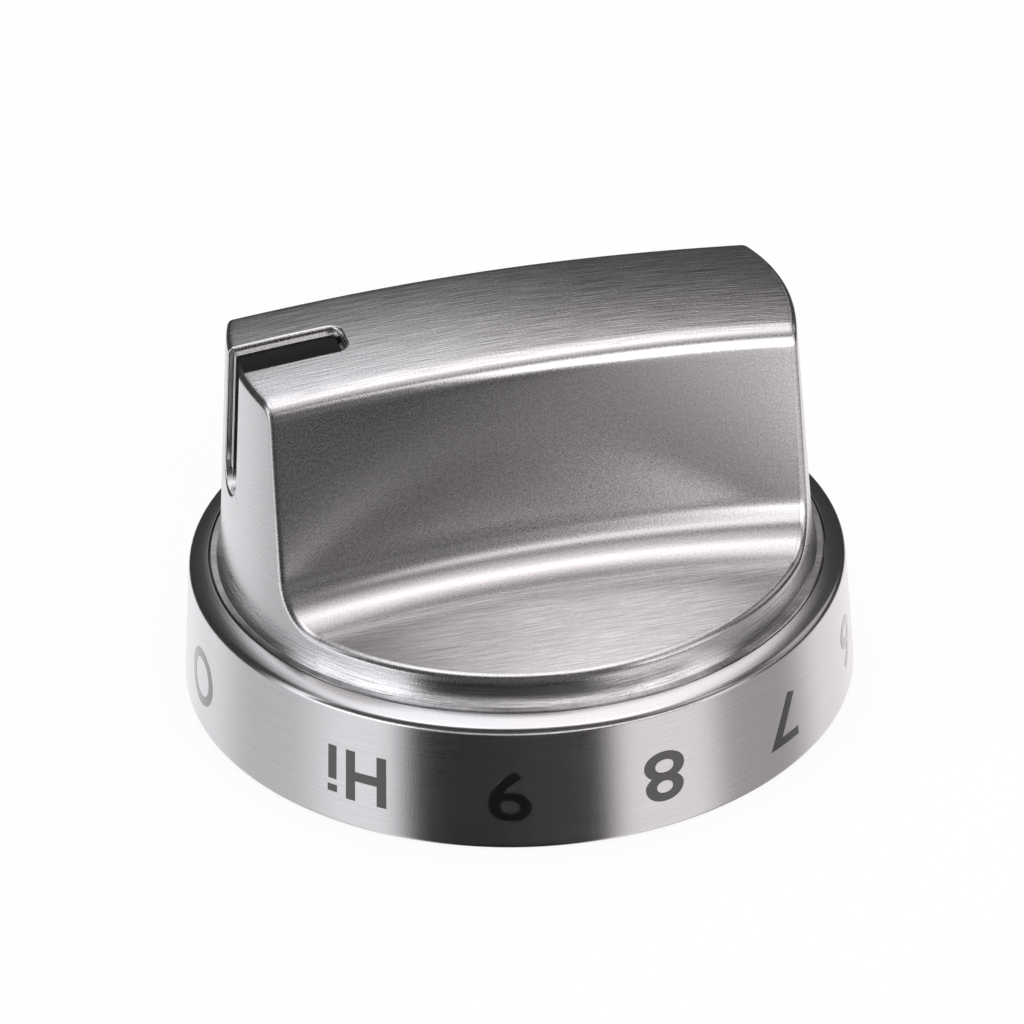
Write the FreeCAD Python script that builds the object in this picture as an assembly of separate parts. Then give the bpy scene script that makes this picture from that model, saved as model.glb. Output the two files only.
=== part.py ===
import FreeCAD, Part
import math
import os

V = FreeCAD.Vector

# Oven control knob, in millimetres. The knob stands on the rim of its dial skirt, the rim's centre is
# the origin, +Z points away from the appliance, and the bar of the grip lies along X, pointer to -X.

# Dial skirt: a drawn steel ring with a drafted wall, a sloping flange and a recessed web
skirt_radius = 28.5          # outside, at the rim
skirt_draft = 4.2            # degrees, the wall leans in as it rises
skirt_wall = 1.0
skirt_height = 11.57         # rim to the seam with the grip
shoulder_round = 0.7
flange_slope = 19.4          # degrees, down towards the outside
web_thickness = 1.0
web_corner_round = 0.6
rim_round = 0.25

# Grip: a drafted round slug, crowned on top, scooped on both sides to leave a bar
grip_radius = 24.85          # at the floor of the scoops
grip_draft = 4.2             # degrees
grip_height = 34.35          # rim of the skirt to the top of the crown
crown_radius = 220.0         # along the bar
cross_radius = 70.0          # across the bar
grip_wall = 2.3
foot_radius = 25.9
foot_height = 1.0
cove_radius = 8.0            # sweeps the slug out to its foot
cove_height = 2.0
scoop_floor = 14.35          # height of the flat floors
scoop_fillet = 4.2           # floor to the wall of the bar
waist_low = 15.1             # bar's width at the middle, level with the floors
waist_high = 16.6            # and level with the crown
bar_ends_apart = 44.0        # distance between the two stations below
end_width_low = 21.4         # bar's width at those stations, level with the floors
end_width_high = 15.6        # and level with the crown
bar_edge_round = 1.75        # long edges of the bar's top
grip_edge_round = 0.6        # edge that runs round each end and along each floor

# Pointer groove: stepped, from the top of the bar over its end, with a black strip in its lower step
groove_width = 4.1
groove_start = 14.1          # from the axis to the groove's inner end
groove_foot = 20.7           # height of its lower end
groove_corner = 1.1
groove_step = 0.6            # depth of the wide upper step
groove_ledge = 0.35          # width of the ledge on each side
groove_depth = 1.5
groove_edge_round = 0.2
inlay_thickness = 0.7

# Screws, and the bosses of the grip that they go into
screw_spacing = 29.0
screw_diameter = 2.9
screw_length = 10.0          # under the head
screw_head_diameter = 5.6
screw_head_height = 2.1
screw_recess = 1.3
boss_diameter = 7.0
boss_hole_depth = 9.0
boss_end_gap = 0.15          # short of the underside of the web
boss_rib = 1.8
boss_rib_rise = 2.0          # ribs stay clear of the web

# Hub carrier: moulded disc with ribs, and a stem with a bore for a flatted shaft
plate_radius = 23.5
plate_thickness = 2.2
rib_count = 8
rib_thickness = 1.4
rib_height = 2.0
plate_rim = 1.5
pad_diameter = 8.6
pad_height = 1.0
stem_diameter = 12.0         # below the plate
stem_top = 20.5
shaft_diameter = 6.35
shaft_flat = 4.76            # across the flat
bore_top = 18.0
bore_lead = 0.5              # chamfer at the mouth
split_width = 1.2
ring_height = 2.4
ring_thickness = 0.7
ring_gap = 50.0              # degrees left open
ring_from_mouth = 0.7        # lip of the stem under the ring
ring_below_ribs = 0.27

# Clearances
foot_clearance = 0.1         # grip's foot in the skirt's recess
boss_clearance = 0.1         # bosses through the web
neck_clearance = 0.4         # stem through the web
neck_side_clearance = 0.45   # stem to the walls of the hollow bar
shaft_clearance = 0.06       # on diameter and across the flat
screw_clearance = 0.1        # on diameter, shank in its boss
head_hole_clearance = 0.5    # on diameter, shank through the plate
inlay_clearance = 0.05       # each side of the black strip
ring_clearance = 0.03        # spring ring on the stem

# Levels that follow from the sizes above
recess_radius = foot_radius + foot_clearance
seat_z = skirt_height - foot_height
web_z = seat_z - web_thickness
plate_z = web_z - plate_thickness
rib_z = plate_z - rib_height
ring_z = rib_z - ring_below_ribs - ring_height
stem_mouth = ring_z - ring_from_mouth
stem_neck = waist_low - 2 * grip_wall - 2 * neck_side_clearance
cove_z = skirt_height + cove_height
overshoot = 5.0              # how far cutting tools pass the surface they cut


def revolve(profile):
    """Solid of revolution round Z from a closed profile in the XZ plane."""
    face = Part.Face(Part.Wire(profile))
    return face.revolve(V(0, 0, 0), V(0, 0, 1), 360)


def line(a, b):
    return Part.LineSegment(V(a[0], 0, a[1]), V(b[0], 0, b[1])).toShape()


def polyline(points):
    return [line(a, b) for a, b in zip(points, points[1:] + points[:1])]


def rod(radius, z0, z1, x=0.0, y=0.0):
    return Part.makeCylinder(radius, z1 - z0, V(x, y, z0))


def slab(x0, x1, y0, y1, z0, z1):
    return Part.makeBox(x1 - x0, y1 - y0, z1 - z0, V(x0, y0, z0))


def edges_near(shape, level, radius):
    """Circular edges round Z at one height and radius."""
    found = []
    for edge in shape.Edges:
        curve = edge.Curve
        if not isinstance(curve, Part.Circle):
            continue
        on_axis = math.hypot(curve.Center.x, curve.Center.y) < 1e-6
        if on_axis and abs(curve.Center.z - level) < 1e-4 and abs(curve.Radius - radius) < 1e-4:
            found.append(edge)
    return found


def cone_radius(z):
    return grip_radius - (z - scoop_floor) * math.tan(math.radians(grip_draft))


def slug(inset, foot):
    """The grip before its scoops, shrunk by an inset: drafted cone under a crowned top."""
    draft = math.radians(grip_draft)
    side = inset / math.cos(draft)
    top_z = grip_height + overshoot
    top = (cone_radius(top_z) - side, top_z)
    if foot:
        centre = (cone_radius(cove_z) + cove_radius * math.cos(draft),
                  cove_z + cove_radius * math.sin(draft))
        start = math.pi + draft
        end = math.pi + math.asin((centre[1] - skirt_height) / cove_radius)
        arc = [(centre[0] + cove_radius * math.cos(a), centre[1] + cove_radius * math.sin(a))
               for a in (start, (start + end) / 2, end)]
        cove = Part.Arc(*[V(x, 0, z) for x, z in arc]).toShape()
        profile = polyline([arc[2], (foot_radius, skirt_height), (foot_radius, seat_z), (0, seat_z),
                            (0, top_z), top, arc[0]])[:-1] + [cove]
    else:
        base_z = seat_z - overshoot
        profile = polyline([(0, base_z), (cone_radius(base_z) - side, base_z), top, (0, top_z)])
    return revolve(profile).common(crown(inset)).Solids[0]


def crown(inset):
    """Barrel whose upper side is the top of the grip, rounded along the bar and more tightly across."""
    axis_z = grip_height - crown_radius
    top_z = grip_height - inset
    across = cross_radius - inset
    half = skirt_radius
    side_z = top_z - across + math.sqrt(across ** 2 - half ** 2)
    left = V(0, -half, side_z)
    right = V(0, half, side_z)
    arc = Part.Arc(left, V(0, 0, top_z), right).toShape()
    base = [right, V(0, half, axis_z), V(0, -half, axis_z), left]
    sides = [Part.LineSegment(a, b).toShape() for a, b in zip(base, base[1:])]
    half_turn = Part.Face(Part.Wire([arc] + sides))
    half_turn.rotate(V(0, 0, axis_z), V(0, 1, 0), 180)
    return half_turn.revolve(V(0, 0, axis_z), V(0, 1, 0), 360)


def scoop(inset):
    """What one scoop takes from the slug on the side of -Y: flared wall, round foot, flat floor."""
    rise = grip_height - scoop_floor
    reach = skirt_radius + overshoot
    floor = scoop_floor - inset
    lift = (rise + overshoot + inset) / rise

    def outline(z, waist, end_width):
        ends = waist + (end_width - waist) * (2 * reach / bar_ends_apart) ** 2
        left = V(-reach, inset - ends / 2, z)
        right = V(reach, inset - ends / 2, z)
        wall = Part.Arc(left, V(0, inset - waist / 2, z), right).toShape()
        outer = [right, V(reach, -2 * reach, z), V(-reach, -2 * reach, z), left]
        return Part.Wire([wall] + [Part.LineSegment(a, b).toShape() for a, b in zip(outer, outer[1:])])

    drop = inset / rise
    low = outline(floor, waist_low - (waist_high - waist_low) * drop,
                  end_width_low - (end_width_high - end_width_low) * drop)
    high = outline(floor + lift * rise, waist_low + (waist_high - waist_low) * (lift - drop),
                   end_width_low + (end_width_high - end_width_low) * (lift - drop))
    tool = Part.makeLoft([low, high], True, True)
    foot = [e for e in tool.Edges if e.BoundBox.ZMax < floor + 1e-3 and e.BoundBox.YMax > -reach
            and e.BoundBox.XLength > reach and e.BoundBox.YMin > -1.9 * reach]
    return tool.makeFillet(scoop_fillet + inset, foot)


def mirror_y(shape):
    return shape.mirror(V(0, 0, 0), V(0, 1, 0))


def groove_tool(margin):
    """Run of the pointer groove in plan and in end view, crossed: open at the top and at the end."""
    reach = skirt_radius + overshoot
    half = groove_width / 2 - margin
    start = groove_start + margin
    foot = groove_foot + margin
    plan = slab(-reach, -start, -half, half, 0, grip_height + overshoot)
    inner = [e for e in plan.Edges
             if e.BoundBox.ZLength > grip_height and e.BoundBox.XMin > -start - 1e-6]
    plan = plan.makeFillet(groove_corner - margin, inner)
    end_slab = slab(-reach, 0, -half, half, foot + half, grip_height + overshoot)
    end_round = Part.makeCylinder(half, reach, V(-reach, 0, foot + half), V(1, 0, 0))
    return plan.common(end_slab.fuse(end_round))


def depth(point):
    """How far a point lies under the cone or the crown of the uncut slug, whichever is nearer."""
    inside = cone_radius(point.z) - math.hypot(point.x, point.y)
    under_cone = inside * math.cos(math.radians(grip_draft))
    along = math.hypot(point.x, point.z - grip_height + crown_radius)
    under_crown = cross_radius - math.hypot(point.y, along - crown_radius + cross_radius)
    return min(under_cone, under_crown)


def make_grip():
    body = slug(0, True)
    near = scoop(0)
    body = body.cut(near).cut(mirror_y(near))

    # The long edges of the bar, between the crown and the two walls
    def is_long_edge(edge):
        box = edge.BoundBox
        return box.ZMin > (scoop_floor + grip_height) / 2 and box.XLength > grip_radius
    body = body.makeFillet(bar_edge_round, [e for e in body.Edges if is_long_edge(e)])

    # The edge that runs up and over each end of the bar and along each floor: all that bounds the cone
    def bounds_cone(edge):
        points = edge.discretize(5)
        on_cone = all(abs(math.hypot(p.x, p.y) - cone_radius(p.z)) < 0.01 for p in points)
        is_seam = all(abs(p.y) < 1e-6 for p in points)
        return on_cone and not is_seam and edge.BoundBox.ZMin > cove_z + 1e-3
    body = body.makeFillet(grip_edge_round, [e for e in body.Edges if bounds_cone(e)])

    # Core that leaves an even wall, with two bosses and the ribs that tie them to the ends
    inner = scoop(grip_wall)
    core = slug(grip_wall, False).cut(inner).cut(mirror_y(inner))
    body = body.cut(core)
    envelope = slug(grip_wall / 2, False)
    for side in (-1, 1):
        x = side * screw_spacing / 2
        boss = rod(boss_diameter / 2, web_z + boss_end_gap, grip_height, x)
        end_x = side * grip_radius
        rib = slab(min(x, end_x), max(x, end_x), -boss_rib / 2, boss_rib / 2,
                   seat_z + boss_rib_rise, grip_height)
        body = body.fuse(boss.fuse(rib).common(envelope))
    body = body.removeSplitter()
    for side in (-1, 1):
        x = side * screw_spacing / 2
        body = body.cut(rod((screw_diameter + screw_clearance) / 2, web_z, web_z + boss_hole_depth, x))

    # Pointer groove in two steps, then its mouth is eased
    upper = groove_tool(0).cut(slug(groove_step, False))
    lower = groove_tool(groove_ledge).cut(slug(groove_depth, False))
    body = body.cut(upper).cut(lower)

    def bounds_mouth(edge):
        points = edge.discretize(7)
        between = all(abs(p.y) < groove_width / 2 + 1e-3 for p in points)
        outward = all(p.x < -groove_start + 1e-3 for p in points)
        return between and outward and all(depth(p) < groove_step / 2 for p in points)
    return body.makeFillet(groove_edge_round, [e for e in body.Edges if bounds_mouth(e)])


def make_pointer_inlay():
    strip = groove_tool(groove_ledge + inlay_clearance)
    return strip.common(slug(groove_depth - inlay_thickness, False)).cut(slug(groove_depth, False))


def make_dial_skirt():
    draft = math.tan(math.radians(skirt_draft))
    slope = math.tan(math.radians(flange_slope))
    # The drafted wall and the sloping flange meet at the shoulder
    shoulder_z = (skirt_height - (skirt_radius - recess_radius) * slope) / (1 - draft * slope)
    shoulder = (skirt_radius - shoulder_z * draft, shoulder_z)
    hole_radius = stem_neck / 2 + neck_clearance
    inner = skirt_wall / math.cos(math.radians(skirt_draft))
    profile = [(skirt_radius - inner, 0), (skirt_radius, 0), shoulder, (recess_radius, skirt_height),
               (recess_radius, seat_z), (hole_radius, seat_z), (hole_radius, web_z),
               (skirt_radius - web_z * draft - inner, web_z)]
    skirt = revolve(polyline(profile))
    skirt = skirt.makeFillet(shoulder_round, edges_near(skirt, shoulder[1], shoulder[0]))
    skirt = skirt.makeFillet(web_corner_round, edges_near(skirt, web_z, profile[7][0]))
    rim = edges_near(skirt, 0, skirt_radius) + edges_near(skirt, 0, skirt_radius - inner)
    skirt = skirt.makeFillet(rim_round, rim)
    for side in (-1, 1):
        hole = rod(boss_diameter / 2 + boss_clearance, web_z - overshoot, seat_z + overshoot,
                   side * screw_spacing / 2)
        skirt = skirt.cut(hole)
    return skirt


def make_hub_carrier():
    pad_z = plate_z - pad_height
    tray = rod(plate_radius - plate_rim, rib_z - overshoot, plate_z)
    body = rod(plate_radius, rib_z, web_z).cut(tray)
    for i in range(rib_count):
        rib = slab(0, plate_radius - plate_rim / 2, -rib_thickness / 2, rib_thickness / 2, rib_z, web_z)
        rib.rotate(V(0, 0, 0), V(0, 0, 1), (i + 0.5) * 360 / rib_count)
        body = body.fuse(rib)
    body = body.fuse(rod(stem_diameter / 2, stem_mouth, web_z))
    body = body.fuse(rod(stem_neck / 2, stem_mouth, stem_top))
    for side in (-1, 1):
        body = body.fuse(rod(pad_diameter / 2, pad_z, web_z, side * screw_spacing / 2))
    body = body.removeSplitter()
    for side in (-1, 1):
        hole = rod((screw_diameter + head_hole_clearance) / 2, rib_z - overshoot, web_z + overshoot,
                   side * screw_spacing / 2)
        body = body.cut(hole)

    # Bore for the flatted shaft, its flat away from the pointer, with a lead-in at the mouth
    bore_radius = (shaft_diameter + shaft_clearance) / 2
    flat_x = shaft_flat + shaft_clearance - bore_radius
    bore_foot = stem_mouth - overshoot
    bore = rod(bore_radius, bore_foot, bore_top)
    bore = bore.cut(slab(flat_x, stem_diameter, -stem_diameter, stem_diameter, bore_foot, stem_top))
    lead = Part.makeCone(bore_radius + bore_lead, bore_radius, bore_lead, V(0, 0, stem_mouth))
    body = body.cut(bore).cut(lead)

    # Split in two fingers, and grooved for the spring ring
    split = rod(stem_diameter / 2 + ring_thickness, bore_foot, plate_z)
    split = split.common(slab(-split_width / 2, split_width / 2, -stem_diameter, stem_diameter,
                              bore_foot, plate_z))
    body = body.cut(split)
    groove = rod(stem_diameter / 2 + ring_thickness, ring_z, ring_z + ring_height)
    groove = groove.cut(rod(stem_diameter / 2 - ring_thickness, ring_z, ring_z + ring_height))
    return body.cut(groove)


def make_shaft_spring_ring():
    inner = stem_diameter / 2 - ring_thickness + ring_clearance
    outer = inner + ring_thickness
    low = ring_z + ring_clearance
    high = ring_z + ring_height - ring_clearance
    profile = [(inner, low), (outer, low), (outer, high), (inner, high)]
    face = Part.Face(Part.Wire(polyline(profile)))
    ring = face.revolve(V(0, 0, 0), V(0, 0, 1), 360 - ring_gap)
    ring.rotate(V(0, 0, 0), V(0, 0, 1), 90 + ring_gap / 2)
    return ring


def make_carrier_screws():
    head_z = plate_z - pad_height
    screws = []
    for side in (-1, 1):
        x = side * screw_spacing / 2
        radius = screw_diameter / 2
        point_z = head_z + screw_length - radius
        shank = rod(radius, head_z, point_z, x)
        point = Part.makeCone(radius, radius / 3, radius, V(x, 0, point_z))
        head = rod(screw_head_diameter / 2, head_z - screw_head_height, head_z, x)
        circles = [e for e in head.Edges if isinstance(e.Curve, Part.Circle)]
        lower = [e for e in circles if e.Curve.Center.z < head_z - 1e-6]
        head = head.makeFillet(screw_head_height / 2, lower)
        screw = head.fuse(shank).fuse(point)
        arm = screw_head_diameter / 4
        slot = screw_head_diameter / 10
        base = head_z - screw_head_height
        for reach in ((arm, slot), (slot, arm)):
            screw = screw.cut(slab(x - reach[0], x + reach[0], -reach[1], reach[1], base - overshoot,
                                   base + screw_recess))
        screws.append(screw.removeSplitter())
    return Part.makeCompound(screws)


pieces = {
    "grip": make_grip,
    "pointer_inlay": make_pointer_inlay,
    "dial_skirt": make_dial_skirt,
    "hub_carrier": make_hub_carrier,
    "shaft_spring_ring": make_shaft_spring_ring,
    "carrier_screws": make_carrier_screws,
}

os.makedirs("parts", exist_ok=True)
for name, make in pieces.items():
    shape = make()
    shape.exportStep("parts/" + name + ".step")
    print(name, len(shape.Solids), "solid(s), valid", shape.isValid(), "volume", round(shape.Volume, 1))
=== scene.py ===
import math

import bmesh
import bpy
import numpy as np
from mathutils import Matrix, Vector


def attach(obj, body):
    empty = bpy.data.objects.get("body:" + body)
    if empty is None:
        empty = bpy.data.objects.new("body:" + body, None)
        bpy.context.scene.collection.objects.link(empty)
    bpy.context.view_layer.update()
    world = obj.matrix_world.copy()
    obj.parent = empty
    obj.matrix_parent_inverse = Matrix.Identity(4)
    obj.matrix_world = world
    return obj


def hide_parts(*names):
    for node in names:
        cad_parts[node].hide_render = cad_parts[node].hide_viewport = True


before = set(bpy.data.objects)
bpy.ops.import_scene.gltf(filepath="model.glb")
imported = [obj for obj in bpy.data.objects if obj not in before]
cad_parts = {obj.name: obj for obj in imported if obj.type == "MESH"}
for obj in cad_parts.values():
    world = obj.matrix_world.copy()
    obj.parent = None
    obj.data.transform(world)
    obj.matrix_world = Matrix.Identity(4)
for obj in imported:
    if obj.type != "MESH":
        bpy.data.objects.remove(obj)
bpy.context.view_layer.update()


# Dial skirt
# A drawn steel ring with a drafted wall, a sloping flange and a sunk web that the grip's foot sits in.
# The wall is brushed round the axis, and two holes in the web let the grip's screw bosses through.
MM = 0.001
skirt_radius = 28.5
skirt_draft = math.radians(4.2)
skirt_wall = 1.0
skirt_height = 11.57
shoulder_round = 0.7
flange_slope = math.radians(19.4)
recess_radius = 26.0
recess_edge_round, recess_corner_round = 0.08, 0.05
seat_z = 10.57
web_z = 9.57
web_hole_radius = 5.2
web_hole_round = 0.1
web_corner_round = 0.6
rim_round = 0.25
screw_spacing = 29.0
boss_radius = 3.5
boss_clearance = 0.1
cut_over = 1.0
skirt_segments = 288
wall_rows = (0.02, 0.25, 0.5, 0.75, 0.98)
turn_length = 2 * math.pi * skirt_radius
sharp_angle = math.radians(32)


def rounded_corner(before, corner, after, radius, steps):
    """Points of an arc of that radius in the corner of two straight lines of a profile."""
    corner = np.array(corner, float)
    a = np.array(before, float) - corner
    b = np.array(after, float) - corner
    a /= np.linalg.norm(a)
    b /= np.linalg.norm(b)
    half = math.acos(float(np.clip(a @ b, -1, 1))) / 2
    middle = (a + b) / np.linalg.norm(a + b)
    centre = corner + middle * radius / math.sin(half)
    start = corner + a * radius / math.tan(half) - centre
    end = corner + b * radius / math.tan(half) - centre
    turn = math.acos(float(np.clip(start @ end / radius ** 2, -1, 1)))
    arc = []
    for t in np.linspace(0, 1, steps + 1):
        p = (start * math.sin((1 - t) * turn) + end * math.sin(t * turn)) / math.sin(turn)
        arc.append(tuple(centre + p))
    return arc


def placed(name, data):
    """Object at the origin of the scene for a mesh, a text or a camera."""
    piece = bpy.data.objects.new(name, data)
    bpy.context.scene.collection.objects.link(piece)
    return piece


def skin_mesh(name, points, faces, lines, finish_of=lambda face: 0):
    """Piece from points in millimetres, its faces turned outwards, with the brushing's run as its UV map."""
    mesh = bpy.data.meshes.new(name)
    mesh.from_pydata((np.asarray(points) * MM).tolist(), [], faces)
    mesh.update()
    bm = bmesh.new()
    bm.from_mesh(mesh)
    bmesh.ops.recalc_face_normals(bm, faces=bm.faces)
    run = bm.loops.layers.uv.new("brush")
    for face in bm.faces:
        face.smooth = True
        face.material_index = finish_of(face)
        uvs = [lines[loop.vert.index] for loop in face.loops]
        wrap = max(u for u, v in uvs)
        for loop, (u, v) in zip(face.loops, uvs):
            loop[run].uv = (u + turn_length if wrap - u > turn_length / 2 else u, v)
    bmesh.ops.delete(bm, geom=[v for v in bm.verts if not v.link_faces], context="VERTS")
    bm.to_mesh(mesh)
    bm.free()
    mesh.set_sharp_from_angle(angle=sharp_angle)
    return placed(name, mesh)


def length_along(path):
    """Length from the first point of a path to each of its points."""
    return np.concatenate([[0], np.cumsum(np.linalg.norm(np.diff(path, axis=0), axis=1))])


def turned_piece(name, profile, segments):
    """Closed profile of (radius, height) turned round Z."""
    run = length_along(profile)
    points, lines, faces = [], [], []
    count = len(profile)
    for i in range(segments):
        a = 2 * math.pi * i / segments
        for (r, z), v in zip(profile, run):
            points.append((r * math.cos(a), r * math.sin(a), z))
            lines.append((turn_length * i / segments, v))
    for i in range(segments):
        for j in range(count):
            k = (j + 1) % count
            n = (i + 1) % segments
            faces.append((i * count + j, n * count + j, n * count + k, i * count + k))
    return skin_mesh(name, points, faces, lines)


lean = math.tan(skirt_draft)
slope = math.tan(flange_slope)
shoulder_z = (skirt_height - (skirt_radius - recess_radius) * slope) / (1 - lean * slope)
shoulder = (skirt_radius - shoulder_z * lean, shoulder_z)
inner_radius = skirt_radius - skirt_wall / math.cos(skirt_draft)
corners = [
    ((inner_radius, 0), rim_round, 4),
    ((skirt_radius, 0), rim_round, 6),
    (shoulder, shoulder_round, 10),
    ((recess_radius, skirt_height), recess_edge_round, 3),
    ((recess_radius, seat_z), recess_corner_round, 2),
    ((web_hole_radius, seat_z), web_hole_round, 2),
    ((web_hole_radius, web_z), web_hole_round, 2),
    ((inner_radius - web_z * lean, web_z), web_corner_round, 5),
]
profile = []
for i, (corner, radius, steps) in enumerate(corners):
    before = corners[i - 1][0]
    after = corners[(i + 1) % len(corners)][0]
    arc = rounded_corner(before, corner, after, radius, steps)
    if corner == shoulder:
        wall_foot, wall_head = np.array(profile[-1]), np.array(arc[0])
        profile += [tuple(wall_foot * (1 - t) + wall_head * t) for t in wall_rows]
    profile += arc
skirt = turned_piece("dial_skirt_turned", profile, skirt_segments)


def rod(radius, low, high, x, segments=64):
    """Upright round tool of a cut or a joint, at a place along X."""
    mesh = bpy.data.meshes.new("rod")
    bm = bmesh.new()
    bmesh.ops.create_cone(bm, cap_ends=True, segments=segments, radius1=radius * MM, radius2=radius * MM,
                          depth=(high - low) * MM,
                          matrix=Matrix.Translation((x * MM, 0, (low + high) / 2 * MM)))
    bm.to_mesh(mesh)
    bm.free()
    return placed("rod", mesh)


def result_of(piece):
    """Plain mesh of a text, or of what a piece's modifiers make of it."""
    bpy.context.view_layer.update()
    return bpy.data.meshes.new_from_object(piece.evaluated_get(bpy.context.evaluated_depsgraph_get()))


def keep_result(piece):
    """Keeps what a piece's modifiers make of it as its plain mesh."""
    made = result_of(piece)
    piece.modifiers.clear()
    piece.data = made
    made.name = piece.name


def worked(piece, operation, tools):
    """Cuts tools out of a piece or joins them to it, with the piece's first finish on the new faces."""
    for tool in tools:
        for finish in piece.data.materials:
            tool.data.materials.append(finish)
        step = piece.modifiers.new(operation, "BOOLEAN")
        step.operation = operation
        step.solver = "MANIFOLD"
        step.object = tool
    keep_result(piece)
    for tool in tools:
        bpy.data.objects.remove(tool)


def maths(tree, operation, *values):
    """Math node of a tree, with numbers or other nodes' outputs as its values."""
    node = tree.nodes.new("ShaderNodeMath")
    node.operation = operation
    for socket, value in zip(node.inputs, values):
        if isinstance(value, (int, float)):
            socket.default_value = value
        else:
            tree.links.new(value, socket)
    return node.outputs[0]


def ramp(tree, value, low, high, out_low=0.0, out_high=1.0, soft=False):
    """Value stretched from one range to another, in a straight line or with soft ends."""
    node = tree.nodes.new("ShaderNodeMapRange")
    node.interpolation_type = "SMOOTHSTEP" if soft else "LINEAR"
    for label, limit in (("From Min", low), ("From Max", high), ("To Min", out_low), ("To Max", out_high)):
        node.inputs[label].default_value = limit
    tree.links.new(value, node.inputs["Value"])
    return node.outputs["Result"]


def mixed(tree, factor, first, second):
    """Colour between two, each a colour or another node's output, by a factor."""
    node = tree.nodes.new("ShaderNodeMix")
    node.data_type = "RGBA"
    tree.links.new(factor, node.inputs["Factor"])
    for label, colour in (("A", first), ("B", second)):
        if isinstance(colour, tuple):
            node.inputs[label].default_value = (*colour, 1)
        else:
            tree.links.new(colour, node.inputs[label])
    return node.outputs["Result"]


def shade(colour, share):
    return tuple(c * share for c in colour)


def new_material(name):
    """Material, its node tree and its shader."""
    material = bpy.data.materials.new(name)
    material.use_nodes = True
    return material, material.node_tree, material.node_tree.nodes["Principled BSDF"]


relief_depth = 0.04


def raised(tree, shader, height, strength):
    """Gives a surface a fine relief."""
    bump = tree.nodes.new("ShaderNodeBump")
    bump.inputs["Strength"].default_value = strength
    bump.inputs["Distance"].default_value = relief_depth * MM
    tree.links.new(height, bump.inputs["Height"])
    tree.links.new(bump.outputs["Normal"], shader.inputs["Normal"])


brushing = ("Line Spacing", "Line Length", "Grain Size", "Line Depth", "Grain Depth")


def brushed_metal_group():
    """Fine drawn lines and grain of a brushed metal, along the first axis of the brush map."""
    group = bpy.data.node_groups.new("brushed_metal", "ShaderNodeTree")
    for name in brushing:
        group.interface.new_socket(name, in_out="INPUT", socket_type="NodeSocketFloat")
    for name in ("Height", "Tone"):
        group.interface.new_socket(name, in_out="OUTPUT", socket_type="NodeSocketFloat")
    add, link = group.nodes.new, group.links.new
    put_in, put_out = add("NodeGroupInput"), add("NodeGroupOutput")
    run = add("ShaderNodeUVMap")
    run.uv_map = "brush"
    split = add("ShaderNodeSeparateXYZ")
    link(run.outputs["UV"], split.inputs[0])

    def noise(length, width, detail, roughness):
        place = add("ShaderNodeCombineXYZ")
        for axis, size in enumerate((length, width)):
            link(maths(group, "DIVIDE", split.outputs[axis], put_in.outputs[size]), place.inputs[axis])
        texture = add("ShaderNodeTexNoise")
        for label, value in (("Scale", 1.0), ("Detail", detail), ("Roughness", roughness)):
            texture.inputs[label].default_value = value
        link(place.outputs[0], texture.inputs["Vector"])
        return texture.outputs["Fac"]

    fine = noise("Line Length", "Line Spacing", detail=2.0, roughness=0.6)
    grain = noise("Grain Size", "Grain Size", detail=1.0, roughness=0.5)
    line_depth, grain_depth = put_in.outputs["Line Depth"], put_in.outputs["Grain Depth"]
    height = maths(group, "MULTIPLY_ADD", grain, grain_depth, maths(group, "MULTIPLY", fine, line_depth))
    tone = maths(group, "DIVIDE", height, maths(group, "ADD", line_depth, grain_depth))
    link(height, put_out.inputs["Height"])
    link(tone, put_out.inputs["Tone"])
    return group


brushed_metal = brushed_metal_group()


def metal_finish(name, colour, roughness, drawn, brush_sizes, relief, streak):
    """Metal with a brushed or satin surface. Reflections stretch across the lines by the share drawn, and
    the lines are lighter and darker by the share streak."""
    material, tree, metal = new_material(name)
    metal.inputs["Metallic"].default_value = 1.0
    finish = tree.nodes.new("ShaderNodeGroup")
    finish.node_tree = brushed_metal
    for label, value in zip(brushing, brush_sizes):
        finish.inputs[label].default_value = value
    raised(tree, metal, finish.outputs["Height"], relief)
    tone = finish.outputs["Tone"]
    tree.links.new(ramp(tree, tone, 0.3, 0.7, roughness * 0.9, roughness * 1.1), metal.inputs["Roughness"])
    shades = mixed(tree, ramp(tree, tone, 0.32, 0.68), shade(colour, 1 - streak), shade(colour, 1 + streak))
    tree.links.new(shades, metal.inputs["Base Color"])
    if drawn:
        metal.inputs["Anisotropic"].default_value = drawn
        metal.inputs["Anisotropic Rotation"].default_value = 0.25
        tangent = tree.nodes.new("ShaderNodeTangent")
        tangent.direction_type = "UV_MAP"
        tangent.uv_map = "brush"
        tree.links.new(tangent.outputs[0], metal.inputs["Tangent"])
    return material


skirt.data.materials.append(metal_finish(
    "skirt_steel", (0.74, 0.726, 0.738), roughness=0.2, drawn=0.5,
    brush_sizes=(0.14, 9.0, 0.14, 0.5, 0.5), relief=0.16, streak=0.07))
worked(skirt, "DIFFERENCE", [
    rod(boss_radius + boss_clearance, web_z - cut_over, seat_z + cut_over, side * screw_spacing / 2)
    for side in (-1, 1)])
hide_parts("dial_skirt")
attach(skirt, "root")


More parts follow.
